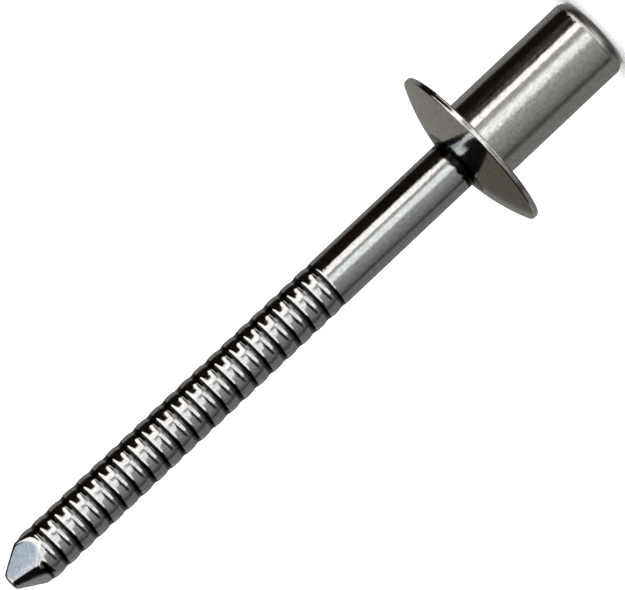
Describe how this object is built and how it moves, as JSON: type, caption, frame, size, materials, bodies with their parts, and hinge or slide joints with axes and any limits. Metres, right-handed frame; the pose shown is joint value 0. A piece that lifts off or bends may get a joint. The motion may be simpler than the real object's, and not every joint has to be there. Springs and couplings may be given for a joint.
{
  "type": "closed-end blind rivet",
  "caption": "Closed-end blind rivet: drawn cup with a wide domed head, swaged round a mandrel with a plain stem, a ringed pull section and a pinched tip.",
  "frame": {"origin": "centre of the flat closed end of the body, on the axis", "axes": "+Z along the axis from the closed end towards the tip of the mandrel; +X and +Y square to the pinched faces of the tip"},
  "size_m": [0.01, 0.01, 0.0425],
  "materials": {
    "body_steel": "bright drawn stainless steel, tumbled, with a faint grain",
    "mandrel_steel": "bright drawn stainless steel wire, polished, with rolled rings"
  },
  "bodies": {
    "root": {"rivet_body": "body_steel", "mandrel": "mandrel_steel"}
  },
  "joints": []
}
